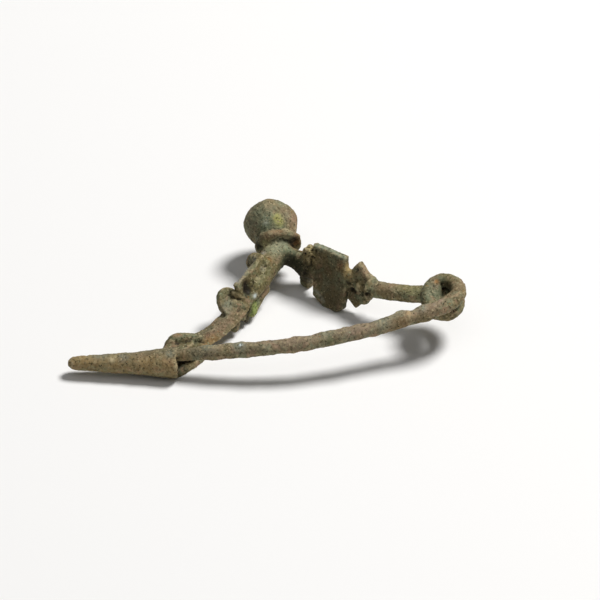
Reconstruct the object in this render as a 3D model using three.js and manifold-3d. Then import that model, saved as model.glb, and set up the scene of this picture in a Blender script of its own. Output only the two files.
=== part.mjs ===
// A bronze fibula, an ancient dress pin of Cypriot type, in millimetres with +Z up.
// Bow, spring, pin and catch are one continuous piece of metal, and it lies on its side:
// +X runs from the catch to the spring, and +Y from the pin to the bow's finial.
import * as THREE from "three";
import { mergeVertices } from "three/addons/utils/BufferGeometryUtils.js";
import Module from "manifold-3d";

const wasm = await Module();
wasm.setup();

const point = (x, y, z) => new THREE.Vector3(x, y, z);
const flat = (x, y) => new THREE.Vector2(x, y);
const up = point(0, 0, 1);

// Driving dimensions.
const pinRadius = 1.4;
const rodRadius = 1.68;
const springRadius = 1.38;
const springWidth = 2.9;
const springReach = 3.55;
const springPitch = 3.05;
const springTurns = 1.31;
const springCentre = point(33.5, -7.25, 9.4);
const springAxis = point(0, -0.15, 0.99).normalize();

const apex = point(2.1, 9.6, 6.9);
const finialAxis = point(-0.225, 0.946, 0.262).normalize();
const finialRadius = 5.4;
const finialLength = 11.2;
const ringRadius = 4.6;
const ringAxis = point(-0.1, 0.95, 0.26).normalize();
const neckRadius = 2.7;

const rightRun = point(0.81, -0.58, 0.08).normalize();
const rightRise = point(0, 0.34, 0.94).normalize();
const rightCollarAt = point(7.85, 7.4, 5.2);
const rightCollarLean = 0.17;
const rightCollarThickness = 2.1;
const squareAt = point(12.5, 3.1, 6.1);
const starAt = point(17.9, 0.3, 6.4);
const rodStart = point(19.9, -1.1, 6.75);
const rodCollarRadius = 2.2;
const rodCollarThickness = 1.3;
const bossHeight = 1.6;

const leftRun = point(-0.51, -0.85, -0.16).normalize();
const leftRise = point(-0.29, 0.12, 0.95).normalize();
const leftCollarAt = point(-1.5, 5.2, 7.1);
const leftCollarRadius = 3;
const leftCollarThickness = 2;
const leftPlateAt = point(-2.3, 0.4, 5.8);
const lobeAt = point(-5.9, -5.0, 4.7);

const plateThickness = 1.7;
const plateBevel = 0.35;

const catchTip = point(-37.7, -18.5, 2.7);
const catchMiddle = point(-27.6, -18.7, 2.85);
const catchMouth = point(-17, -18.7, 3);
const catchTipRadius = 1.3;
const catchMouthRadius = 2.95;
const catchWall = 0.6;
const catchDepth = 9;
const webHeight = 1.7;
const webThickness = 1.8;
const roofHeight = 3.3;

// How finely the round forms are divided.
const barSides = 10;
const barSteps = 110;
const springStops = 14;
const armSides = 12;
const finialSides = 28;
const discSides = 14;
const catchSides = 18;

// A closed three.js geometry as a solid that can be joined and cut.
function solidOf(geometry) {
  const bare = geometry.clone();
  bare.deleteAttribute("normal");
  bare.deleteAttribute("uv");
  const merged = mergeVertices(bare, 1e-4);
  const index = merged.index.array;
  const kept = [];
  for (let i = 0; i < index.length; i += 3) {
    const [a, b, c] = index.slice(i, i + 3);
    if (a !== b && b !== c && c !== a) kept.push(a, b, c);
  }
  const vertProperties = new Float32Array(merged.attributes.position.array);
  const triVerts = new Uint32Array(kept);
  return new wasm.Manifold(new wasm.Mesh({ numProp: 3, vertProperties, triVerts }));
}

function geometryOf(solid) {
  const mesh = solid.getMesh();
  const geometry = new THREE.BufferGeometry();
  geometry.setAttribute("position", new THREE.BufferAttribute(mesh.vertProperties, 3));
  geometry.setIndex(new THREE.BufferAttribute(mesh.triVerts, 1));
  return geometry;
}

// A closed skin through rings of equal count, with a fan of faces over each end.
function skinOf(rings) {
  const sides = rings[0].length;
  const positions = rings.flat().flatMap((p) => [p.x, p.y, p.z]);
  const faces = [];
  for (let r = 0; r < rings.length - 1; r += 1) {
    for (let s = 0; s < sides; s += 1) {
      const a = r * sides + s;
      const b = r * sides + (s + 1) % sides;
      faces.push(a, b, b + sides, a, b + sides, a + sides);
    }
  }
  for (const [ring, first] of [[rings[0], 0], [rings.at(-1), (rings.length - 1) * sides]]) {
    const middle = ring.reduce((sum, p) => sum.add(p), point(0, 0, 0)).divideScalar(sides);
    const centre = positions.length / 3;
    positions.push(middle.x, middle.y, middle.z);
    for (let s = 0; s < sides; s += 1) {
      const a = first + s;
      const b = first + (s + 1) % sides;
      faces.push(...(first === 0 ? [centre, b, a] : [centre, a, b]));
    }
  }
  const geometry = new THREE.BufferGeometry();
  geometry.setAttribute("position", new THREE.Float32BufferAttribute(positions, 3));
  geometry.setIndex(faces);
  return geometry;
}

// Sections set square along a curve: sectionAt(u) gives points as (left of travel, upwards).
function sweep(route, sectionAt, steps) {
  const curve = new THREE.CatmullRomCurve3(route, false, "centripetal");
  const rings = [];
  for (let i = 0; i <= steps; i += 1) {
    const u = i / steps;
    const at = curve.getPointAt(u);
    const along = curve.getTangentAt(u);
    const side = point(0, 0, 0).crossVectors(up, along).normalize();
    const rise = point(0, 0, 0).crossVectors(along, side);
    rings.push(sectionAt(u).map((p) => at.clone().addScaledVector(side, p.x).addScaledVector(rise, p.y)));
  }
  return skinOf(rings);
}

function circle(radius, sides) {
  return Array.from({ length: sides }, (_, i) => {
    const angle = (2 * Math.PI * i) / sides;
    return flat(radius * Math.cos(angle), radius * Math.sin(angle));
  });
}

// A bar of round section, whose radius comes from pairs of [u, radius] with straight runs between.
function roundBar(route, pairs, sides, steps) {
  return sweep(route, (u) => circle(valueAt(pairs, u), sides), steps);
}

function valueAt(pairs, u) {
  const next = Math.max(1, pairs.findIndex(([at]) => at >= u));
  const [u0, v0] = pairs[next - 1];
  const [u1, v1] = pairs[next];
  return THREE.MathUtils.mapLinear(u, u0, u1, v0, v1);
}

// A bevelled plate: outline in (along, across), its middle plane through the point at.
function plate(outline, at, along, across, thickness = plateThickness) {
  const geometry = new THREE.ExtrudeGeometry(new THREE.Shape(outline), {
    depth: thickness - 2 * plateBevel,
    bevelEnabled: true,
    bevelThickness: plateBevel,
    bevelSize: plateBevel,
    bevelOffset: -plateBevel,
    bevelSegments: 2,
  });
  geometry.translate(0, 0, plateBevel - thickness / 2);
  const normal = point(0, 0, 0).crossVectors(along, across).normalize();
  return geometry.applyMatrix4(new THREE.Matrix4().makeBasis(along, across, normal).setPosition(at));
}

// A body turned about a line: profile points are (radius, distance along the axis).
function turned(profile, at, axis, sides) {
  const geometry = new THREE.LatheGeometry(profile, sides);
  geometry.applyQuaternion(new THREE.Quaternion().setFromUnitVectors(point(0, 1, 0), axis));
  return geometry.translate(at.x, at.y, at.z);
}

// The neck and the bell of the finial, turned about one slanting axis.
function finial() {
  const neck = [flat(0, -2.2), flat(1.6, -1.9), flat(2.4, -1), flat(neckRadius, 0.4), flat(2.9, 1.2)];
  const groove = [flat(3.5, 1.6), flat(3.75, 3), flat(4.1, 3.8)];
  const bell = [
    flat(4.8, 5.1), flat(finialRadius - 0.2, 6.5), flat(finialRadius, 7.3), flat(finialRadius - 0.15, 8.2),
    flat(4.85, 9), flat(4.2, 9.8), flat(3.2, 10.5), flat(1.8, finialLength - 0.2), flat(0, finialLength),
  ];
  return turned([...neck, ...groove, ...bell], apex, finialAxis, finialSides);
}

// The ring round the foot of the bell, set a little askew.
function ring() {
  const profile = [
    flat(0, 1.2), flat(ringRadius - 0.4, 1.2), flat(ringRadius, 1.6), flat(ringRadius, 2.2),
    flat(ringRadius - 0.5, 2.7), flat(0, 2.7),
  ];
  return turned(profile, apex, ringAxis, finialSides);
}

// A worn disc set square across an arm.
function disc(at, axis, radius, thickness) {
  const half = thickness / 2;
  const worn = 0.5;
  const profile = [
    flat(0, -half), flat(radius - worn, -half), flat(radius, worn - half),
    flat(radius, half - worn), flat(radius - worn, half), flat(0, half),
  ];
  return turned(profile, at, axis, discSides);
}

// The arm on the spring's side runs through a cross plate, a square plate and a star to the rod.
function rightRoot() {
  const route = [apex, point(4.7, 8.9, 6.2), rightCollarAt];
  return roundBar(route, [[0, 2.3], [0.5, 1.85], [0.85, 2.3], [1, 2.6]], armSides, 10);
}

// A worn cross plate, tall and narrow, that leans and ends below in a blunt spike.
function rightCollar() {
  const outline = [
    flat(-1.2, 5), flat(-1.5, 2), flat(-1.5, -2.2), flat(-0.7, -5), flat(0.9, -5.9), flat(1.7, -5),
    flat(1.5, 0), flat(1.3, 4.6),
  ];
  const aside = point(0, 0, 0).crossVectors(up, rightRun).normalize();
  const rise = point(0, 0, 0).crossVectors(rightRun, aside).addScaledVector(rightRun, rightCollarLean);
  rise.normalize();
  return plate(outline, rightCollarAt, aside, rise, rightCollarThickness);
}

function rightNeck() {
  const route = [rightCollarAt, squareAt.clone().addScaledVector(rightRun, -3.2)];
  return roundBar(route, [[0, 1.9], [1, 1.3]], armSides, 2);
}

// The lower corner towards the bow's middle is broken off slantwise.
function squarePlate() {
  const outline = [
    flat(-4.2, 5.6), flat(-4.25, -5), flat(-1.9, -6.5), flat(1.2, -6.8), flat(2.9, -5.7),
    flat(3.7, -1.5), flat(3.6, 3), flat(3.5, 5.2),
  ];
  return plate(outline, squareAt, rightRun, rightRise);
}

function starPlate() {
  const outline = [
    flat(-2.2, 2.2), flat(-3.4, 2), flat(-3.4, -3.2), flat(-2.7, -3.3), flat(-0.7, -5), flat(0.3, -3.7),
    flat(1.4, -3.5), flat(2.7, -2), flat(2.8, 1.7), flat(1.9, 2.8), flat(0, 4.7),
  ];
  return plate(outline, starAt, rightRun, rightRise);
}

// The raised middle of the star, a low four-sided point on the face towards the pin.
function starBoss() {
  const [halfLength, halfHeight, offset] = [2.7, 3.6, 0.3];
  const outwards = point(0, 0, 0).crossVectors(rightRun, rightRise).normalize();
  const geometry = new THREE.ConeGeometry(1, bossHeight, 4);
  geometry.translate(0, bossHeight / 2, 0);
  const basis = new THREE.Matrix4().makeBasis(
    rightRise.clone().multiplyScalar(halfHeight), outwards, rightRun.clone().multiplyScalar(halfLength));
  return geometry.applyMatrix4(basis.setPosition(starAt.clone().addScaledVector(rightRun, offset)));
}

// Rod, spring and pin are one bar, drawn out and coiled.
function barRoute() {
  const across = point(1, 0, 0).addScaledVector(springAxis, -springAxis.x).normalize();
  const away = point(0, 0, 0).crossVectors(springAxis, across);
  const rod = [point(19.4, -0.8, 6.6), point(21.5, -1.9, 6.9), point(24.8, -3, 7.2), point(29.6, -3.9, 7.5)];
  const spring = [];
  for (let i = 0; i <= springStops; i += 1) {
    const turns = springTurns * (i / springStops);
    const angle = Math.PI / 2 - 2 * Math.PI * turns;
    spring.push(springCentre.clone()
      .addScaledVector(across, springWidth * Math.cos(angle))
      .addScaledVector(away, springReach * Math.sin(angle))
      .addScaledVector(springAxis, springPitch * (turns - springTurns / 2)));
  }
  const pin = [
    point(33.4, -11.3, 10.8), point(28.4, -13, 9.9), point(21.8, -15.1, 9), point(14.2, -17.3, 8.45),
    point(6.2, -18.8, 7.65), point(-3.5, -19.2, 6.65), point(-13.3, -18.65, 5.2), point(-17.2, -18.5, 4.6),
    point(-22, -18.7, 3.7),
  ];
  return [...rod, ...spring, ...pin];
}

function bar() {
  const radii = [
    [0, 1.7], [0.12, rodRadius], [0.155, springRadius], [0.22, springRadius], [0.27, 1.65],
    [0.33, springRadius], [0.4, 1.6], [0.46, 1.5], [0.58, 1.4], [0.65, pinRadius], [0.88, pinRadius], [1, 1],
  ];
  return roundBar(barRoute(), radii, barSides, barSteps);
}

// The arm on the catch's side runs through a collar, a square plate and two lobes to the band.
function leftRoot() {
  const route = [apex, point(0.4, 6.9, 6.7), leftPlateAt, point(-4.1, -2.8, 5.2), lobeAt];
  return roundBar(route, [[0, 2.6], [0.25, 2.5], [0.45, 2.1], [0.6, 1.85], [1, 0.8]], armSides, 14);
}

function leftPlate() {
  const outline = [flat(5.3, 4.7), flat(3.9, -4.2), flat(-2.6, -3), flat(-4.6, 3.9)];
  return plate(outline, leftPlateAt, leftRun, leftRise, 1.2);
}

// A broad rounded lobe, bent outwards like an ear.
function ear() {
  const run = point(-0.46, -0.86, -0.2).normalize();
  const out = point(-0.78, 0.17, 0.62).normalize();
  const shape = new THREE.Shape();
  shape.moveTo(-3.4, -1.4);
  shape.lineTo(2.9, -1.4);
  shape.lineTo(2.9, 0.6);
  shape.bezierCurveTo(2.3, 3.5, 1, 4.9, -0.8, 4.9);
  shape.bezierCurveTo(-2.8, 4.9, -3.6, 3, -3.4, -1.4);
  return plate(shape.getPoints(8).slice(0, -1), lobeAt, run, out, 1.5);
}

// The lobe that points down, with one long tip and one short one.
function tooth() {
  const run = point(-0.6, -0.78, -0.16).normalize();
  const down = point(-0.02, -0.46, -0.89).normalize();
  const outline = [
    flat(-2.8, -1), flat(2.6, -1), flat(1.8, 2.2), flat(0.9, 4.1), flat(-0.2, 3.9), flat(-0.9, 2),
    flat(-1.5, 3.4), flat(-2.3, 3.5), flat(-2.9, 1.4),
  ];
  return plate(outline, lobeAt, run, down, 1.6);
}

// The band below the lobes: a kite-shaped section with a ridge along its top.
function band() {
  const route = [
    point(-3.3, -1.2, 5.9), point(-5.2, -4.4, 5.6), point(-7.8, -7.8, 5.1), point(-10.5, -10.8, 4.5),
    point(-14.4, -13.3, 3.9), point(-17.5, -15.8, 3.2),
  ];
  const kite = [flat(0, 0), flat(-2, -0.7), flat(-1.7, -1.6), flat(0.2, -2.6), flat(2, -1.5)];
  const growth = [[0, 0.5], [0.2, 0.9], [0.35, 1], [1, 1]];
  return sweep(route, (u) => kite.map((p) => p.clone().multiplyScalar(valueAt(growth, u))), 14);
}

// The webs where the band broadens into the catch: its floor, which lies on the table, and its roof.
function webs() {
  const floor = [
    flat(-23, -17.2), flat(-18.3, -20.1), flat(-16.4, -19.5), flat(-13.4, -16.6), flat(-10.8, -13),
    flat(-12.6, -11.6), flat(-19.4, -14.2),
  ];
  const roof = [
    flat(-22.5, -18.3), flat(-17.2, -18.4), flat(-13.6, -15.2), flat(-14.5, -13.2), flat(-18.6, -14.2),
    flat(-19.5, -15.6),
  ];
  return [
    plate(floor, point(0, 0, webHeight), point(1, 0, 0.06), point(0, 1, 0.05), webThickness),
    plate(roof, point(0, 0, roofHeight), point(1, 0, 0.07), point(0, 1, -0.1), webThickness),
  ];
}

// The worn moulding across the end of the band.
function lump() {
  const route = [
    point(-18.6, -14, 4.1), point(-17.6, -13.6, 4.5), point(-15.8, -13.4, 4.5), point(-12.4, -12.9, 4.2),
  ];
  return roundBar(route, [[0, 0.75], [0.1, 1.05], [0.5, 1.15], [1, 0.6]], 8, 8);
}

// The catch is a long tapered sheath, open at its mouth.
function sheath() {
  const radii = [
    [0, 0.55], [0.02, 0.95], [0.05, catchTipRadius], [0.15, 1.4], [0.35, 1.75], [0.6, 2.1],
    [0.75, 2.45], [0.88, 2.8], [1, catchMouthRadius],
  ];
  return roundBar([catchTip, catchMiddle, catchMouth], radii, catchSides, 22);
}

// The hollow behind the mouth, where the end of the pin lies against the roof.
function channel() {
  const from = point(catchMouth.x - catchDepth, catchMiddle.y, 2.85);
  const to = catchMouth.clone().add(point(1, 0, 0));
  return roundBar([from, to], [[0, 1], [1, catchMouthRadius - catchWall]], catchSides, 4);
}

function fibula() {
  const catchForms = [sheath(), ...webs()].reduce((whole, part) => whole.add(solidOf(part)), solidOf(lump()));
  const discs = [
    disc(rodStart, rightRun, rodCollarRadius, rodCollarThickness),
    disc(leftCollarAt, leftRun, leftCollarRadius, leftCollarThickness),
  ];
  const joined = [
    finial(), ring(), rightRoot(), rightCollar(), rightNeck(), squarePlate(), starPlate(), starBoss(),
    bar(), leftRoot(), leftPlate(), ear(), tooth(), band(), ...discs,
  ];
  return joined.reduce((whole, part) => whole.add(solidOf(part)), catchForms.subtract(solidOf(channel())));
}

// The spots it lies on are worn flat: all that would reach below the table is cut away.
const table = solidOf(new THREE.BoxGeometry(200, 200, 20).translate(0, 0, -10));
const geometry = geometryOf(fibula().subtract(table));
geometry.computeVertexNormals();
geometry.computeBoundingBox();
const { min, max } = geometry.boundingBox;
const bronze = new THREE.MeshStandardMaterial({ color: 0x6b6448, roughness: 0.8, metalness: 0.35 });
const mesh = new THREE.Mesh(geometry, bronze);
mesh.name = "fibula";
mesh.position.set(-(min.x + max.x) / 2, -(min.y + max.y) / 2, -min.z);

const group = new THREE.Group();
group.add(mesh);
export default group;
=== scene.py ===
import math

import bpy
import numpy as np
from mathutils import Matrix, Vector, noise


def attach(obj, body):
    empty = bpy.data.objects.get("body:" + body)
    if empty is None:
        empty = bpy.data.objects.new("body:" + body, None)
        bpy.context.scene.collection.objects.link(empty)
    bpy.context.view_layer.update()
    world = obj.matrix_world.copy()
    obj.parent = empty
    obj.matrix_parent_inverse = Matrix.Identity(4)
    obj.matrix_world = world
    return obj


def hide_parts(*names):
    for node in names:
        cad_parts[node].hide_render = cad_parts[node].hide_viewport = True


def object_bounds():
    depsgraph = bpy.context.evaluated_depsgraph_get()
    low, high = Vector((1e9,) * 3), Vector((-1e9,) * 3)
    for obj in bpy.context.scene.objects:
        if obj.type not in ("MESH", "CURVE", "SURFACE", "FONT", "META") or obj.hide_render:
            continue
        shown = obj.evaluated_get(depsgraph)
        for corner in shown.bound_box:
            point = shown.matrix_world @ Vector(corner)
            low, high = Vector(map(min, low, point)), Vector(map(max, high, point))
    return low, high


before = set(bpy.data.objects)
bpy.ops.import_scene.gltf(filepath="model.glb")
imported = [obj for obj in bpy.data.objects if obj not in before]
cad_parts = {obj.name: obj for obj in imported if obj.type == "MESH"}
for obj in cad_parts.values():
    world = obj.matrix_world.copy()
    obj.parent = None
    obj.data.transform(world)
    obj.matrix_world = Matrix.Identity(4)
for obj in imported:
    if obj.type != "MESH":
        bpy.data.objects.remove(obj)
cadLow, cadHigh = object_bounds()
print("frame loaded")

# One millimetre of the brooch, and the middle of its underside, from the frame.
# Points below are in millimetres from a spot on the table near that middle.
mm = (cadHigh.x - cadLow.x) / 75.7
middle = np.array(((cadLow.x + cadHigh.x) / 2, (cadLow.y + cadHigh.y) / 2, cadLow.z))
start = np.array((-0.138, 0.545, 0.0))


def place(x, y, z):
    return Vector(middle + (start + np.array((x, y, z))) * mm)


studio = {
    "aim": (6.24, 3.34, 0),
    "elevation": 40,
    "distance": 650,
    "lens": 200,
    "sensor": 36,
    "clip": (0.01, 20),
    "floorHalf": 3.0,
    "floorColour": (0.86, 0.85, 0.835, 1),
    "floorRoughness": 0.9,
    "floorSpecular": 0.1,
    "keyFrom": (0.44, 0.24, 0.86),
    "keyDistance": 1500,
    "keySize": 500,
    "keyPower": 25.0,
    "skyFrom": (-0.1, -0.35, 1),
    "skyDistance": 1000,
    "skySize": 900,
    "skyPower": 1.3,
    "fill": 0.10,
    "fillColour": (0.97, 0.985, 1, 1),
}


def addCamera():
    data = bpy.data.cameras.new("camera")
    camera = bpy.data.objects.new("camera", data)
    bpy.context.collection.objects.link(camera)
    tilt = math.radians(studio["elevation"])
    back = Vector((0, -math.cos(tilt), math.sin(tilt)))
    camera.location = place(*studio["aim"]) + back * studio["distance"] * mm
    camera.rotation_mode = "QUATERNION"
    camera.rotation_quaternion = (-back).to_track_quat("-Z", "Y")
    data.lens = studio["lens"]
    data.sensor_width = studio["sensor"]
    data.clip_start, data.clip_end = studio["clip"]
    bpy.context.scene.camera = camera


def addFloor():
    half = studio["floorHalf"]
    mesh = bpy.data.meshes.new("floor")
    corners = [(-half, -half, 0), (half, -half, 0), (half, half, 0), (-half, half, 0)]
    mesh.from_pydata([(x, y, middle[2] + z) for x, y, z in corners], [], [(0, 1, 2, 3)])
    floor = bpy.data.objects.new("floor", mesh)
    bpy.context.collection.objects.link(floor)
    material = bpy.data.materials.new("palePaper")
    material.use_nodes = True
    tree = material.node_tree
    shader = tree.nodes["Principled BSDF"]
    shader.inputs["Roughness"].default_value = studio["floorRoughness"]
    shader.inputs["Specular IOR Level"].default_value = studio["floorSpecular"]
    shader.inputs["Base Color"].default_value = studio["floorColour"]
    mesh.materials.append(material)


def addSoftLight(name, way, distance, size, power):
    data = bpy.data.lights.new(name, "AREA")
    data.shape = "DISK"
    data.size = size * mm
    data.energy = power
    light = bpy.data.objects.new(name, data)
    bpy.context.collection.objects.link(light)
    way = Vector(way).normalized()
    light.location = place(0, 0, 0) + way * distance * mm
    light.rotation_mode = "QUATERNION"
    light.rotation_quaternion = (-way).to_track_quat("-Z", "Y")


def addLights():
    world = bpy.data.worlds.new("studio")
    bpy.context.scene.world = world
    world.use_nodes = True
    background = world.node_tree.nodes["Background"]
    background.inputs["Color"].default_value = studio["fillColour"]
    background.inputs["Strength"].default_value = studio["fill"]
    addSoftLight("key", studio["keyFrom"], studio["keyDistance"], studio["keySize"], studio["keyPower"])
    addSoftLight("sky", studio["skyFrom"], studio["skyDistance"], studio["skySize"], studio["skyPower"])


addCamera()
addFloor()
addLights()
bpy.context.scene.view_settings.view_transform = "Standard"
print("studio set")

brooch = {
    "voxel": 0.2,        # mesh size in millimetres
    "wear": 3,           # rounds of smoothing that wear the edges
    "swell": 0.03,       # crust over the whole surface
    "grain": 0.085,
    "lumps": 0.08,
    "barLumps": 0.14,    # on the rod, spring and pin
    "sheathGrain": 0.05,
    "grainSize": 0.55,   # sizes of the grain and lumps in millimetres
    "lumpSize": 1.6,
    "barLumpSize": 2.6,
    "sheathGrainSize": 0.42,
    "sheathFade": (-18, -15),    # the sheath's grain fades between these places along it
    "barEdge": (1.9, 2.6),       # how far from the bar's middle its lumps fade
    "pinRadius": 1.4,
    "spongePits": 40,
    "spongePitSize": (0.12, 0.2),
    "spongeDepth": 0.3,
    "spongeMargin": 0.3,
    "nearRounds": 6,     # rounds of smoothing that tell small hollows from crests
    "nearReach": 0.05,
    "wideRounds": 60,
    "wideReach": 0.3,
    "stainEdge": 0.55,   # how ragged the stains' edges are
    "stainEdgeSize": 0.7,
    "stainFirmness": 1.15,
}

# Where the pin and the rod run.
pinLine = np.array([
    (-22, -18.7, 3.7), (-17.2, -18.5, 4.6), (-13.3, -18.65, 5.2), (-3.5, -19.2, 6.65), (6.2, -18.8, 7.65),
    (14.2, -17.3, 8.45), (21.8, -15.1, 9), (28.4, -13, 9.9), (33.4, -11.3, 10.8),
])
barLine = np.array([
    (-16, -18.5, 4.8), (-3.5, -19.2, 6.65), (6.2, -18.8, 7.65), (14.2, -17.3, 8.45), (21.8, -15.1, 9),
    (28.4, -13, 9.9), (33.4, -11.3, 10.8), (37, -8.5, 11), (35.5, -4.2, 10.5), (31.5, -5.5, 10),
    (31.3, -9, 8.5), (35, -10.8, 8), (36.5, -7, 8), (33, -4.6, 8), (29, -4.2, 7.6), (20.5, -1.5, 6.8),
])

# Crust that fills the corners: two ends, each with its radius.
crust = [
    ((-0.2, 4.6, 7.3), 1.5, (-2.2, -0.2, 6.2), 1.35),
    ((-1.2, 3.6, 7.4), 1.2, (-2.6, 0.6, 7.0), 1.1),
    ((6.0, 7.6, 7.2), 1.0, (9.2, 6.6, 7.4), 0.9),
    ((6.8, 6.9, 4.4), 1.2, (9.0, 5.9, 4.6), 1.2),
    ((15.1, 2.0, 8.2), 0.8, (16.8, 1.2, 8.0), 0.8),
    ((15.1, 1.8, 7.0), 0.95, (16.8, 1.0, 7.0), 0.95),
    ((15.0, 1.6, 5.8), 0.95, (16.6, 0.8, 5.8), 0.95),
    ((4.7, 15.4, 8.9), 1.0, (4.5, 12.6, 8.8), 1.0),
    ((-6.6, -3.7, 7.7), 0.55, (-4.6, -3.5, 6.2), 0.5),
    ((-6.4, -4.6, 5.6), 1.0, (-4.7, -4.2, 4.8), 1.0),
    ((-3.9, -3.4, 3.0), 0.7, (-4.2, -4.5, 1.6), 0.55),
    ((32.0, -5.6, 10.2), 1.25, (32.0, -8.2, 9.2), 1.25),
    ((-18.5, -14.4, 4.0), 0.95, (-17.8, -14.2, 4.1), 0.95),
    ((-17.0, -13.9, 4.5), 0.95, (-16.0, -13.8, 4.5), 0.9),
    ((-15.9, -13.8, 4.2), 0.85, (-12.4, -13.9, 2.9), 0.6),
    ((-18.6, -15.0, 3.1), 1.3, (-14.0, -14.8, 2.6), 1.3),
    ((-18.3, -15.5, 3.7), 0.95, (-14.2, -15.2, 3.3), 0.9),
]

pinTop = np.array((0, 0.64, 0.77))
pinFront = np.array((0, -0.77, 0.64))

# Knocks and lumps along the pin: where, how far round from its top, spread and height.
pinKnocks = [
    (-7.5, -10, 0.7, 0.22), (-4.9, 0, 0.9, 0.3), (-3.6, 180, 0.7, 0.28), (-1.2, 70, 1.0, 0.15),
    (1.6, 20, 0.8, 0.12), (5.4, 0, 1.0, 0.3), (8.3, 150, 0.8, 0.14), (9.9, 10, 0.7, 0.2),
    (11.9, 0, 0.7, 0.24), (14.3, 5, 0.8, 0.2), (17.4, 60, 1.2, 0.18), (20.5, 180, 0.6, 0.22),
    (22.4, 0, 0.9, 0.24), (25.0, -5, 1.0, 0.5), (27.5, 0, 0.6, -0.28), (29.2, 10, 0.9, 0.12),
    (30.0, 180, 1.1, 0.34), (18.6, 0, 0.8, -0.1), (2.8, 175, 0.9, -0.12), (-9.6, 175, 0.9, 0.16),
    (-11.8, 20, 0.8, 0.14), (24.0, 110, 1.0, -0.16), (26.6, 80, 0.8, 0.2), (13.0, 95, 0.7, -0.12),
]

# Lumps and pits elsewhere: where, spread and height.
knocks = [
    ((16.3, 0.1, 5.5), 0.32, -0.7), ((16.9, -0.3, 5.1), 0.3, -0.45), ((19.1, -2.9, 6.5), 0.34, -0.6),
    ((15.7, 0.9, 6.9), 0.4, -0.25), ((17.4, -0.6, 6.6), 0.7, 0.25), ((17.8, -1.2, 4.4), 0.6, 0.2),
    ((20.1, 0.1, 8.6), 0.45, 0.35), ((18.2, 1.1, 10.4), 0.6, 0.2), ((17.4, 0.8, 9.7), 0.35, -0.25),
    ((-4.9, -1.4, 8.2), 0.9, -0.5), ((-4.4, -1.8, 7.2), 0.8, -0.7), ((-0.1, 1.4, 4.4), 0.8, 0.3),
    ((-2.6, -3.0, 2.8), 0.9, 0.15), ((3.3, 8.3, 8.5), 0.5, 0.25), ((4.6, 8.3, 8.4), 0.5, 0.2),
    ((2.0, 13.0, 12.5), 0.9, 0.12), ((-0.4, 9.8, 8.8), 0.8, 0.22), ((5.4, 10.6, 9.2), 0.6, -0.4),
    ((5.7, 10.4, 8.0), 0.5, -0.25), ((0.4, 9.7, 10.4), 0.9, 0.2), ((-2.1, 10.0, 8.6), 0.7, -0.3),
    ((4.2, 17.0, 12.6), 1.6, -0.55), ((-0.4, 16.4, 14.1), 1.4, 0.4), ((-4.5, 12.6, 8.2), 1.5, -0.3),
    ((1.6, 10.8, 11.9), 0.5, -0.3), ((3.4, 10.7, 11.7), 0.5, 0.25), ((-1.2, 10.8, 10.6), 0.5, 0.25),
    ((2.5, 10.2, 11.6), 0.4, -0.25), ((5.9, 11.3, 9.6), 0.5, 0.3),
    ((14.3, 2.0, 9.9), 0.8, -0.15), ((12.2, 2.8, 6.4), 1.4, 0.14), ((10.8, 3.6, 8.8), 1.1, -0.12),
    ((11.5, 1.6, 3.6), 1.0, -0.14), ((-8.2, -4.4, 7.4), 1.2, -0.12), ((-18.0, -14.6, 4.9), 0.5, 0.2),
    ((-29.3, -19.6, 4.4), 0.6, 0.15), ((-24.0, -20.2, 4.5), 0.8, 0.12), ((-34.6, -19.2, 4.0), 0.9, 0.12),
    ((-16.9, -19.9, 5.2), 0.6, -0.2), ((-17.3, -21.3, 4.2), 0.6, 0.15),
]

# The spongy face on the cross plate: where its small pits lie.
spongeLow = (6.9, 5.6, 7.8)
spongeHigh = (9.1, 7.9, 10.4)


def cadMesh():
    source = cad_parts["fibula"].data
    points = np.empty(len(source.vertices) * 3, np.float32)
    source.vertices.foreach_get("co", points)
    points = (points.reshape(-1, 3) - middle) / mm - start
    return points, [tuple(p.vertices) for p in source.polygons]


def ball(centre, radius, sides=14, rows=9):
    points = [(0, 0, 1)]
    for i in range(1, rows):
        tilt = math.pi * i / rows
        for j in range(sides):
            turn = math.tau * j / sides
            points.append((math.sin(tilt) * math.cos(turn), math.sin(tilt) * math.sin(turn), math.cos(tilt)))
    points.append((0, 0, -1))
    last = len(points) - 1
    faces = []
    for j in range(sides):
        k = (j + 1) % sides
        faces.append((0, 1 + j, 1 + k))
        for i in range(rows - 2):
            a, b = 1 + i * sides, 1 + (i + 1) * sides
            faces.append((a + j, b + j, b + k, a + k))
        faces.append((last, last - sides + k, last - sides + j))
    return np.array(points) * radius + np.array(centre), faces


def crustShells():
    shells = []
    for one, oneRadius, two, twoRadius in crust:
        one, two = np.array(one), np.array(two)
        count = max(2, int(np.linalg.norm(two - one) / (0.35 * min(oneRadius, twoRadius))) + 1)
        for t in np.linspace(0, 1, count):
            shells.append(ball(one + (two - one) * t, oneRadius + (twoRadius - oneRadius) * t))
    return shells


def joined(shells):
    points, faces, count = [], [], 0
    for shellPoints, shellFaces in shells:
        faces += [tuple(count + i for i in face) for face in shellFaces]
        points.append(np.asarray(shellPoints, float))
        count += len(shellPoints)
    mesh = bpy.data.meshes.new("fibula_bronze")
    mesh.from_pydata(np.concatenate(points).tolist(), [], faces)
    return mesh


def remeshed(mesh, voxel):
    rough = bpy.data.objects.new("rough", mesh)
    bpy.context.collection.objects.link(rough)
    modifier = rough.modifiers.new("voxels", "REMESH")
    modifier.mode = "VOXEL"
    modifier.voxel_size = voxel
    bpy.context.view_layer.update()
    depsgraph = bpy.context.evaluated_depsgraph_get()
    fine = bpy.data.meshes.new_from_object(rough.evaluated_get(depsgraph))
    bpy.data.objects.remove(rough)
    return fine


def pointsOf(mesh):
    points = np.empty(len(mesh.vertices) * 3, np.float32)
    mesh.vertices.foreach_get("co", points)
    return points.reshape(-1, 3).astype(float)


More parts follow.
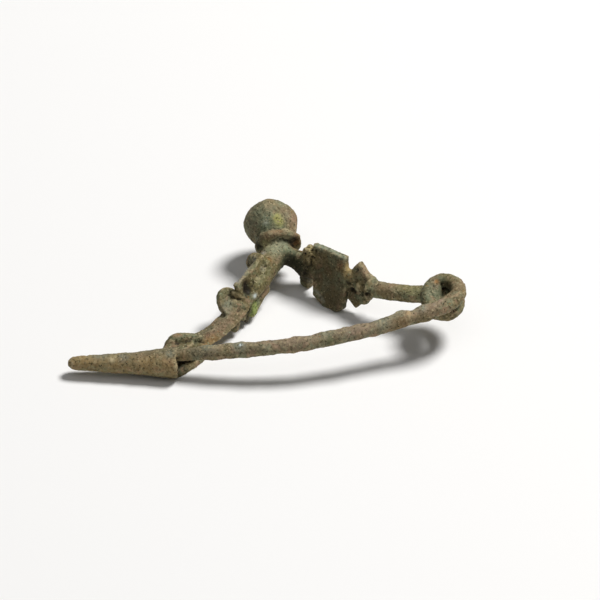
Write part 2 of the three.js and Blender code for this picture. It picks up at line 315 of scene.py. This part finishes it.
def edgesOf(mesh):
    edges = np.empty(len(mesh.edges) * 2, np.int32)
    mesh.edges.foreach_get("vertices", edges)
    return edges.reshape(-1, 2)


def neighbourMean(values, edges):
    # the mean of each vertex's neighbours, for one number or a row of numbers
    rows = values.reshape(len(values), -1)
    count = np.bincount(edges.ravel(), minlength=len(rows)).astype(float)
    out = np.empty_like(rows)
    for k in range(rows.shape[1]):
        total = np.bincount(edges[:, 0], rows[edges[:, 1], k], len(rows))
        total += np.bincount(edges[:, 1], rows[edges[:, 0], k], len(rows))
        out[:, k] = total / count
    return out.reshape(values.shape)


def smoothed(values, edges, rounds):
    for _ in range(rounds):
        values = 0.5 * values + 0.5 * neighbourMean(values, edges)
    return values


def normalsOf(mesh, points):
    mesh.vertices.foreach_set("co", points.astype(np.float32).ravel())
    mesh.update()
    normals = np.empty(len(points) * 3, np.float32)
    mesh.vertex_normals.foreach_get("vector", normals)
    return normals.reshape(-1, 3).astype(float)


def noiseAt(points, size, seed, detail=1):
    # soft noise with features of about that size in millimetres, from -1 to 1
    shift = Vector((seed * 13.7, seed * 5.1, seed * 9.3))
    if detail == 1:
        return np.array([noise.noise(Vector(p) / size + shift) for p in points])
    return np.array([noise.fractal(Vector(p) / size + shift, 0.9, 2.1, detail) for p in points])


def awayFrom(points, line):
    # distance from each point to the nearest stretch of a line
    best = np.full(len(points), 1e9)
    for one, two in zip(line[:-1], line[1:]):
        run = two - one
        t = np.clip(((points - one) @ run) / max(run @ run, 1e-9), 0, 1)
        best = np.minimum(best, np.linalg.norm(points - (one + t[:, None] * run), axis=1))
    return best


def ramp(values, low, high):
    t = np.clip((values - low) / (high - low), 0, 1)
    return t * t * (3 - 2 * t)


def onPin(x, turn):
    # a point on the pin's surface, turned round it from the top towards the front
    y = np.interp(x, pinLine[:, 0], pinLine[:, 1])
    z = np.interp(x, pinLine[:, 0], pinLine[:, 2])
    angle = math.radians(turn)
    way = pinTop * math.cos(angle) + pinFront * math.sin(angle)
    return np.array((x, y, z)) + brooch["pinRadius"] * way


def bumpAt(points, centre, spread):
    away = ((points - np.array(centre)) ** 2).sum(axis=1)
    return np.exp(-away / (2 * spread * spread))


def spongePits(points):
    # small round pits close together, on the worn top of the cross plate
    rng = np.random.default_rng(4)
    low, high = np.array(spongeLow), np.array(spongeHigh)
    margin = brooch["spongeMargin"]
    near = np.all((points > low - margin) & (points < high + margin), axis=1)
    depth = np.zeros(len(points))
    picks = points[near]
    if len(picks) == 0:
        return depth
    for centre in picks[rng.integers(0, len(picks), brooch["spongePits"])]:
        depth = np.maximum(depth, bumpAt(points, centre, rng.uniform(*brooch["spongePitSize"])))
    return depth


def relief(points):
    onBar = 1 - ramp(awayFrom(points, barLine), *brooch["barEdge"])
    onSheath = 1 - ramp(points[:, 0], *brooch["sheathFade"])
    height = brooch["grain"] * noiseAt(points, brooch["grainSize"], 1)
    height += brooch["lumps"] * noiseAt(points, brooch["lumpSize"], 2, 2)
    height += brooch["barLumps"] * onBar * noiseAt(points, brooch["barLumpSize"], 3, 2)
    height += brooch["sheathGrain"] * onSheath * noiseAt(points, brooch["sheathGrainSize"], 5)
    for x, turn, spread, high in pinKnocks:
        height += high * bumpAt(points, onPin(x, turn), spread)
    for centre, spread, high in knocks:
        height += high * bumpAt(points, centre, spread)
    height -= brooch["spongeDepth"] * spongePits(points)
    return height + brooch["swell"]


# Stains on the surface, and among them painted shade in some recesses and pits and painted highlights on some
# top edges: the points they run through, spread, strength and colour.
stainsAndPaintedLight = [
    # the bell
    ([(-2.4, 13.4, 12.2), (0.2, 12.6, 12.2)], 2.2, 0.55, (0.195, 0.225, 0.150)),
    ([(4.0, 14.6, 12.0)], 1.8, 0.55, (0.235, 0.160, 0.100)),
    ([(5.7, 16.4, 9.3), (5.2, 13.4, 8.8)], 1.2, 0.6, (0.270, 0.170, 0.095)),
    ([(0.0, 15.5, 14.0)], 1.1, 0.5, (0.300, 0.215, 0.120)),
    ([(-3.6, 14.0, 10.4)], 1.6, 0.45, (0.150, 0.110, 0.060)),
    ([(-0.6, 11.6, 11.1), (2.2, 11.8, 11.6)], 1.0, 0.55, (0.110, 0.140, 0.080)),
    ([(1.8, 13.2, 12.6), (2.3, 12.5, 12.3)], 0.62, 0.9, (0.420, 0.400, 0.130)),
    ([(-0.4, 12.6, 11.9)], 0.35, 0.7, (0.450, 0.470, 0.360)),
    # the ring and the neck
    ([(0.2, 9.9, 10.5), (2.4, 10.0, 11.2)], 0.75, 0.75, (0.300, 0.120, 0.045)),
    ([(5.4, 10.6, 8.6)], 0.9, 0.75, (0.330, 0.130, 0.020)),
    # this and the next: painted shade in the pit by the ring and on the ring's left side
    ([(5.2, 10.4, 9.2)], 0.7, 0.85, (0.018, 0.014, 0.006)),
    ([(-2.1, 10.1, 8.3), (-1.0, 10.2, 9.6)], 0.9, 0.7, (0.040, 0.040, 0.016)),
    ([(3.1, 9.6, 9.5), (1.6, 9.2, 9.6), (1.6, 7.6, 9.4)], 1.3, 0.85, (0.290, 0.300, 0.190)),
    ([(-0.4, 9.8, 8.8)], 0.65, 0.9, (0.440, 0.410, 0.190)),
    # pale green patina with a painted highlight along the root's top edge
    ([(3.2, 8.3, 8.6), (5.6, 7.9, 8.6)], 0.45, 0.8, (0.310, 0.370, 0.220)),
    # the left arm
    ([(-1.6, 7.4, 8.3)], 0.9, 0.6, (0.240, 0.150, 0.090)),
    ([(-3.4, 5.2, 7.6)], 1.2, 0.6, (0.120, 0.085, 0.045)),
    # painted highlight along the left plate's thin top edge
    ([(-1.1, 6.9, 8.9), (-3.4, 2.6, 9.4), (-5.7, -2.3, 9.6)], 0.42, 0.85, (0.400, 0.400, 0.350)),
    ([(-0.3, 4.2, 9.2), (-2.6, -0.6, 7.2)], 1.7, 0.6, (0.160, 0.138, 0.052)),
    ([(0.1, 4.8, 9.0)], 0.4, 0.7, (0.340, 0.140, 0.030)),
    ([(-1.0, 2.6, 8.7)], 0.4, 0.7, (0.480, 0.440, 0.300)),
    ([(-1.9, 0.4, 7.8)], 0.35, 0.6, (0.420, 0.360, 0.200)),
    # this and the next: painted shade in the recess behind the ear
    ([(-4.9, -1.2, 8.6)], 0.8, 0.7, (0.070, 0.040, 0.014)),
    ([(-4.6, -1.8, 7.3)], 0.8, 0.95, (0.006, 0.004, 0.002)),
    ([(-2.4, -2.5, 5.9)], 0.32, 0.95, (0.600, 0.660, 0.620)),
    ([(-2.5, -2.6, 3.6), (-2.9, -3.6, 2.0)], 0.7, 0.9, (0.290, 0.370, 0.100)),
    # the ear and the band
    ([(-8.2, -3.4, 8.0)], 1.8, 0.6, (0.105, 0.098, 0.042)),
    ([(-7.9, -7.0, 5.9), (-7.4, -5.4, 6.4)], 0.9, 0.55, (0.270, 0.280, 0.200)),
    ([(-6.4, -4.4, 7.0)], 0.5, 0.6, (0.340, 0.250, 0.130)),
    ([(-6.8, -8.4, 5.2), (-8.8, -10.4, 4.8), (-11.2, -12.0, 4.3)], 0.45, 0.7, (0.400, 0.215, 0.160)),
    ([(-9.0, -8.8, 5.2), (-13.0, -11.8, 4.6)], 1.0, 0.6, (0.150, 0.135, 0.090)),
    ([(-5.5, -6.6, 4.6), (-9.5, -11.4, 3.6)], 1.3, 0.5, (0.190, 0.130, 0.070)),
    ([(-10.4, -12.6, 3.3), (-13.0, -14.2, 2.6)], 0.9, 0.6, (0.290, 0.165, 0.060)),
    # the right arm
    # painted shade on the root, which faces away from the light
    ([(4.3, 7.1, 6.3), (6.2, 5.9, 5.2)], 1.7, 0.85, (0.020, 0.026, 0.008)),
    ([(7.8, 7.0, 9.8), (8.5, 6.2, 8.6)], 0.85, 0.9, (0.360, 0.280, 0.120)),
    ([(7.0, 6.4, 9.6)], 0.5, 0.6, (0.150, 0.110, 0.060)),
    # dark patina with painted shade on the square plate's face, turned away from the light
    ([(12.0, 2.8, 7.4), (12.4, 1.2, 3.4)], 3.4, 0.6, (0.090, 0.070, 0.032)),
    # pale green patina with a painted highlight along the top edges of the collar and square plate
    ([(9.7, 6.3, 11.3), (12.0, 5.3, 11.3), (14.9, 2.3, 11.5)], 0.5, 0.85, (0.240, 0.270, 0.190)),
    ([(14.3, 2.0, 9.9)], 0.7, 0.55, (0.200, 0.085, 0.035)),
    ([(15.2, 1.9, 9.4), (15.6, 1.2, 8.3)], 0.6, 0.9, (0.400, 0.300, 0.130)),
    ([(9.4, 3.0, 2.6), (10.8, 1.6, 1.2)], 0.3, 0.7, (0.300, 0.300, 0.230)),
    ([(18.6, 0.2, 9.7)], 0.85, 0.85, (0.330, 0.220, 0.135)),
    # this and the next: painted shade in the two pits of the star plate
    ([(16.4, 0.0, 5.4)], 0.45, 0.9, (0.008, 0.007, 0.003)),
    ([(19.1, -2.9, 6.5)], 0.45, 0.9, (0.008, 0.007, 0.003)),
    ([(20.1, 0.1, 8.5)], 0.5, 0.7, (0.300, 0.210, 0.110)),
    # the rod and the spring
    ([(21.6, -2.2, 8.6), (24.6, -3.2, 8.6)], 1.1, 0.5, (0.260, 0.175, 0.110)),
    ([(26.0, -3.4, 9.0), (29.3, -4.8, 9.4)], 1.2, 0.65, (0.215, 0.195, 0.085)),
    ([(30.9, -7.4, 11.2), (32.4, -5.2, 11.8)], 1.3, 0.7, (0.170, 0.175, 0.105)),
    ([(34.2, -4.4, 10.6)], 0.9, 0.7, (0.090, 0.130, 0.030)),
    ([(32.3, -5.3, 11.9)], 0.35, 0.8, (0.420, 0.210, 0.070)),
    ([(34.6, -9.8, 12.6), (37.0, -7.0, 12.6)], 1.2, 0.5, (0.235, 0.165, 0.098)),
    ([(32.7, -11.2, 12.2)], 0.45, 0.7, (0.420, 0.280, 0.215)),
    ([(31.7, -12.2, 11.6)], 0.22, 0.9, (0.800, 0.800, 0.740)),
    # the pin's whole length
    (
        [(-13.3, -18.9, 6.2), (6.2, -19.1, 8.8), (21.8, -15.4, 10.2), (32.0, -12.0, 11.8)],
        1.1, 0.5, (0.330, 0.250, 0.175),
    ),
    # the catch
    ([(-36.6, -18.6, 4.0), (-16.6, -20.8, 4.4)], 1.5, 0.6, (0.370, 0.245, 0.105)),
    ([(-25.0, -18.2, 5.0), (-17.0, -17.6, 6.0)], 1.3, 0.6, (0.160, 0.138, 0.088)),
    ([(-32.2, -18.2, 4.3), (-30.6, -18.2, 4.5)], 0.8, 0.6, (0.160, 0.180, 0.140)),
    ([(-27.2, -19.1, 4.8)], 0.8, 0.65, (0.140, 0.160, 0.130)),
    ([(-18.3, -19.4, 5.8)], 0.7, 0.6, (0.190, 0.210, 0.160)),
    ([(-29.3, -19.6, 4.4)], 0.4, 0.8, (0.480, 0.400, 0.240)),
    ([(-24.2, -20.3, 4.3)], 0.35, 0.75, (0.480, 0.360, 0.200)),
    ([(-18.4, -14.4, 4.8), (-13.0, -13.8, 3.8)], 0.8, 0.6, (0.090, 0.085, 0.040)),
]

# The pin's own stains: where along it, how far round, spread, strength and colour.
pinStains = [
    (-13.0, 40, 1.6, 0.6, (0.105, 0.105, 0.060)), (-11.0, 20, 0.8, 0.6, (0.200, 0.230, 0.170)),
    (-7.6, 70, 0.8, 0.6, (0.200, 0.150, 0.065)), (-5.0, 30, 1.0, 0.75, (0.190, 0.215, 0.160)),
    (-4.9, 45, 0.2, 0.95, (0.760, 0.840, 0.820)), (-2.0, 60, 1.0, 0.5, (0.150, 0.150, 0.090)),
    (4.6, 30, 1.6, 0.5, (0.260, 0.190, 0.130)), (11.6, 40, 0.9, 0.6, (0.190, 0.215, 0.150)),
    (12.0, 100, 0.7, 0.6, (0.080, 0.100, 0.040)), (16.8, 40, 1.8, 0.5, (0.270, 0.190, 0.135)),
    (22.3, 20, 1.3, 0.65, (0.200, 0.225, 0.165)), (25.0, 20, 1.0, 0.75, (0.230, 0.260, 0.195)),
    (26.8, 50, 0.5, 0.8, (0.480, 0.340, 0.190)), (29.5, 40, 0.5, 0.7, (0.330, 0.360, 0.280)),
    (25.4, 100, 1.4, 0.6, (0.230, 0.135, 0.050)), (31.0, 70, 1.0, 0.5, (0.260, 0.180, 0.110)),
]

# Painted shade in recesses, gaps, pits and under parts: the points, spread and strength.
paintedShades = [
    ([(4.3, 7.1, 6.3), (6.4, 5.8, 5.0), (7.4, 6.0, 3.4)], 1.5, 0.72),
    ([(9.6, 3.6, 5.4), (9.6, 3.4, 8.0)], 0.9, 0.45),
    ([(12.0, 1.8, 4.6), (13.4, -0.2, 2.0)], 2.6, 0.35), ([(-4.7, -1.6, 7.8), (-4.2, -2.2, 6.4)], 0.75, 0.97),
    ([(-4.0, -3.6, 3.6), (-4.3, -4.6, 1.4)], 0.75, 0.97), ([(5.2, 10.4, 9.0)], 0.65, 0.9),
    ([(16.4, 0.0, 5.4)], 0.32, 0.97), ([(19.1, -2.9, 6.5)], 0.32, 0.97), ([(17.0, -1.0, 3.6)], 1.6, 0.35),
    ([(-2.0, 10.0, 8.0)], 0.8, 0.5), ([(34.6, -6.8, 9.4)], 1.6, 0.85), ([(-16.4, -17.2, 2.2)], 1.4, 0.9),
    ([(16.0, -0.2, 6.4)], 0.5, 0.4), ([(-18.6, -15.2, 4.0), (-14.0, -14.9, 3.8)], 0.35, 0.5),
]


def asLine(line):
    # a single place counts as a line of no length
    return np.array(line if len(line) > 1 else line * 2)


def paintedShadeShare(points):
    share = np.zeros(len(points))
    for line, spread, strength in paintedShades:
        away = awayFrom(points, asLine(line))
        share = np.maximum(share, strength * np.exp(-0.5 * (away / spread) ** 2))
    return share


def stainAndLightColours(points):
    # one colour and one weight for every point, the later stains and painted light over the earlier
    colour = np.zeros((len(points), 3))
    weight = np.zeros(len(points))
    ragged = 1 + brooch["stainEdge"] * noiseAt(points, brooch["stainEdgeSize"], 11, 2)
    onePlace = [([onPin(x, turn)], *rest) for x, turn, *rest in pinStains]
    for line, spread, strength, tint in stainsAndPaintedLight + onePlace:
        away = awayFrom(points, asLine(line))
        share = strength * np.exp(-0.5 * (away / spread) ** 2) * ragged * brooch["stainFirmness"]
        share = np.clip(share, 0, strength)
        left = weight * (1 - share)
        weight = left + share
        safe = np.maximum(weight, 1e-6)
        colour = (colour * left[:, None] + np.array(tint) * share[:, None]) / safe[:, None]
    return np.column_stack((colour, weight))


def addAttribute(mesh, name, kind, field, values):
    attribute = mesh.attributes.new(name, kind, "POINT")
    attribute.data.foreach_set(field, np.asarray(values, np.float32).ravel())


def makeBrooch():
    mesh = remeshed(joined([cadMesh()] + crustShells()), brooch["voxel"])
    points = pointsOf(mesh)
    edges = edgesOf(mesh)
    print("remeshed:", len(points), "points")
    points = smoothed(points, edges, brooch["wear"])
    normals = normalsOf(mesh, points)
    points = points + normals * relief(points)[:, None]
    points[:, 2] = np.maximum(points[:, 2], 0)
    normals = normalsOf(mesh, points)
    print("relief cut")
    # how far each point stands out of its surroundings, near and wide
    near = ((points - smoothed(points, edges, brooch["nearRounds"])) * normals).sum(axis=1)
    wide = ((points - smoothed(points, edges, brooch["wideRounds"])) * normals).sum(axis=1)
    addAttribute(mesh, "nearStand", "FLOAT", "value", np.clip(near / brooch["nearReach"], -1, 1))
    addAttribute(mesh, "wideStand", "FLOAT", "value", np.clip(wide / brooch["wideReach"], -1, 1))
    addAttribute(mesh, "stainAndPaintedLight", "FLOAT_COLOR", "color", stainAndLightColours(points))
    addAttribute(mesh, "paintedShade", "FLOAT", "value", paintedShadeShare(points))
    print("stains laid")
    points = (points + start) * mm + middle
    mesh.vertices.foreach_set("co", points.astype(np.float32).ravel())
    mesh.update()
    piece = bpy.data.objects.new("fibula_bronze", mesh)
    bpy.context.collection.objects.link(piece)
    mesh.polygons.foreach_set("use_smooth", [True] * len(mesh.polygons))
    return piece


patina = {
    "oliveBrown": (0.190, 0.152, 0.070, 1),
    "darkOlive": (0.040, 0.036, 0.014, 1),
    "greyGreen": (0.195, 0.210, 0.120, 1),
    "pinkBrown": (0.310, 0.208, 0.122, 1),
    "paleTan": (0.470, 0.385, 0.225, 1),
    "paleGreen": (0.370, 0.420, 0.260, 1),
    "rust": (0.280, 0.135, 0.040, 1),
    # near black, for dirt in the pits and hollows and for painted shade
    "dirtAndShade": (0.016, 0.012, 0.006, 1),
    # each layer: colour, noise per millimetre, detail, seed, distortion, where it starts and ends, strength
    "fields": [
        ("greyGreen", 0.42, 3, 1.0, 0.0, 0.42, 0.62, 1.0),
        ("pinkBrown", 0.55, 3, 4.0, 0.4, 0.50, 0.66, 1.0),
        ("darkOlive", 0.80, 4, 7.0, 0.0, 0.52, 0.70, 1.0),
    ],
    "grains": [
        ("darkOlive", 2.1, 3, 11.0, 0.0, 0.52, 0.66, 0.75),
        ("paleTan", 2.4, 2, 15.0, 0.3, 0.59, 0.70, 0.75),
        ("paleGreen", 1.7, 3, 19.0, 0.0, 0.63, 0.74, 0.7),
        ("rust", 1.2, 3, 23.0, 0.0, 0.64, 0.74, 0.7),
    ],
    "nearDirtAndShade": (-0.15, -0.95, 0.0, 0.75),   # where it starts and ends, then its share there
    "wideDirtAndShade": (-0.2, -1.0, 0.0, 0.8),
    "crestWear": (0.25, 1.0, 0.0, 0.5),
    "pitCells": 1.5,
    "pitEdge": (0.10, 0.24, 1.0, 0.0),
    "pitHeight": -0.8,
    "fineCells": 4.2,
    "fineCellHeight": 0.5,
    "roughness": 0.74,
    "roughnessSwing": 0.16,
    "metallic": 0.05,
    "specular": 0.2,
    "bumpDepth": 0.08,
}


class Nodes:
    # a few short ways to add nodes to one material
    def __init__(self, name):
        self.material = bpy.data.materials.new(name)
        self.material.use_nodes = True
        self.tree = self.material.node_tree
        self.shader = self.tree.nodes["Principled BSDF"]

    def link(self, source, target):
        self.tree.links.new(source, target)

    def place(self, scale):
        # positions in millimetres over that scale
        coordinates = self.tree.nodes.new("ShaderNodeTexCoord")
        mapping = self.tree.nodes.new("ShaderNodeMapping")
        mapping.inputs["Scale"].default_value = (scale / mm,) * 3
        self.link(coordinates.outputs["Object"], mapping.inputs["Vector"])
        return mapping.outputs["Vector"]

    def noise(self, perMillimetre, detail, seed, distortion=0.0):
        node = self.tree.nodes.new("ShaderNodeTexNoise")
        node.noise_dimensions = "4D"
        node.inputs["W"].default_value = seed
        node.inputs["Scale"].default_value = 1.0
        node.inputs["Detail"].default_value = detail
        node.inputs["Roughness"].default_value = 0.55
        node.inputs["Distortion"].default_value = distortion
        self.link(self.place(perMillimetre), node.inputs["Vector"])
        return node.outputs["Fac"]

    def cells(self, perMillimetre):
        node = self.tree.nodes.new("ShaderNodeTexVoronoi")
        node.inputs["Scale"].default_value = 1.0
        self.link(self.place(perMillimetre), node.inputs["Vector"])
        return node.outputs["Distance"]

    def range(self, value, low, high, toLow=0.0, toHigh=1.0):
        node = self.tree.nodes.new("ShaderNodeMapRange")
        node.interpolation_type = "SMOOTHSTEP"
        self.link(value, node.inputs["Value"])
        for name, number in (("From Min", low), ("From Max", high), ("To Min", toLow), ("To Max", toHigh)):
            node.inputs[name].default_value = number
        return node.outputs["Result"]

    def math(self, operation, one, two):
        node = self.tree.nodes.new("ShaderNodeMath")
        node.operation = operation
        for socket, value in zip(node.inputs, (one, two)):
            if isinstance(value, (int, float)):
                socket.default_value = value
            else:
                self.link(value, socket)
        return node.outputs["Value"]

    def mix(self, share, one, two):
        node = self.tree.nodes.new("ShaderNodeMix")
        node.data_type = "RGBA"
        self.link(share, node.inputs["Factor"])
        for socket, value in ((node.inputs[6], one), (node.inputs[7], two)):
            if isinstance(value, tuple):
                socket.default_value = value
            else:
                self.link(value, socket)
        return node.outputs[2]

    def attribute(self, name, output="Fac"):
        node = self.tree.nodes.new("ShaderNodeAttribute")
        node.attribute_name = name
        return node.outputs[output]


def layered(n, colour, layers):
    for name, perMillimetre, detail, seed, distortion, low, high, strength in layers:
        share = n.range(n.noise(perMillimetre, detail, seed, distortion), low, high, 0.0, strength)
        colour = n.mix(share, colour, patina[name])
    return colour


def makePatina():
    n = Nodes("bronze")
    near = n.attribute("nearStand")
    wide = n.attribute("wideStand")
    # broad fields, the stains, painted shade and painted highlights named above, then grains of crust a few
    # tenths of a millimetre wide
    colour = layered(n, patina["oliveBrown"], patina["fields"])
    colour = n.mix(n.attribute("stainAndPaintedLight", "Alpha"), colour, n.attribute("stainAndPaintedLight", "Color"))
    colour = layered(n, colour, patina["grains"])
    # dirt and painted shade in the hollows, wear on the crests
    hollowDirtAndShade = n.math("MAXIMUM", n.range(near, *patina["nearDirtAndShade"]), n.range(wide, *patina["wideDirtAndShade"]))
    colour = n.mix(hollowDirtAndShade, colour, patina["dirtAndShade"])
    crest = n.math("MULTIPLY", n.range(near, *patina["crestWear"]), n.range(n.noise(0.9, 2, 29.0), 0.4, 0.6))
    colour = n.mix(crest, colour, patina["paleTan"])
    pits = n.range(n.cells(patina["pitCells"]), *patina["pitEdge"])
    pits = n.math("MULTIPLY", pits, n.range(n.noise(0.7, 2, 31.0), 0.48, 0.58))
    colour = n.mix(pits, colour, patina["dirtAndShade"])
    # painted shade from the list above, in near black
    colour = n.mix(n.attribute("paintedShade"), colour, patina["dirtAndShade"])
    n.link(colour, n.shader.inputs["Base Color"])
    swing = patina["roughnessSwing"]
    low, high = patina["roughness"] - swing, patina["roughness"] + swing
    n.link(n.range(n.noise(1.6, 3, 37.0), 0.3, 0.7, low, high), n.shader.inputs["Roughness"])
    n.shader.inputs["Metallic"].default_value = patina["metallic"]
    n.shader.inputs["Specular IOR Level"].default_value = patina["specular"]
    height = n.math("ADD", n.noise(3.2, 4, 41.0), n.math("MULTIPLY", pits, patina["pitHeight"]))
    height = n.math("ADD", height, n.math("MULTIPLY", n.cells(patina["fineCells"]), patina["fineCellHeight"]))
    bump = n.tree.nodes.new("ShaderNodeBump")
    bump.inputs["Strength"].default_value = 1.0
    bump.inputs["Distance"].default_value = patina["bumpDepth"] * mm
    n.link(height, bump.inputs["Height"])
    n.link(bump.outputs["Normal"], n.shader.inputs["Normal"])
    return n.material


piece = makeBrooch()
piece.data.materials.append(makePatina())
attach(piece, "root")
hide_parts("fibula")
print("patina made")

print("faces:", len(piece.data.polygons))
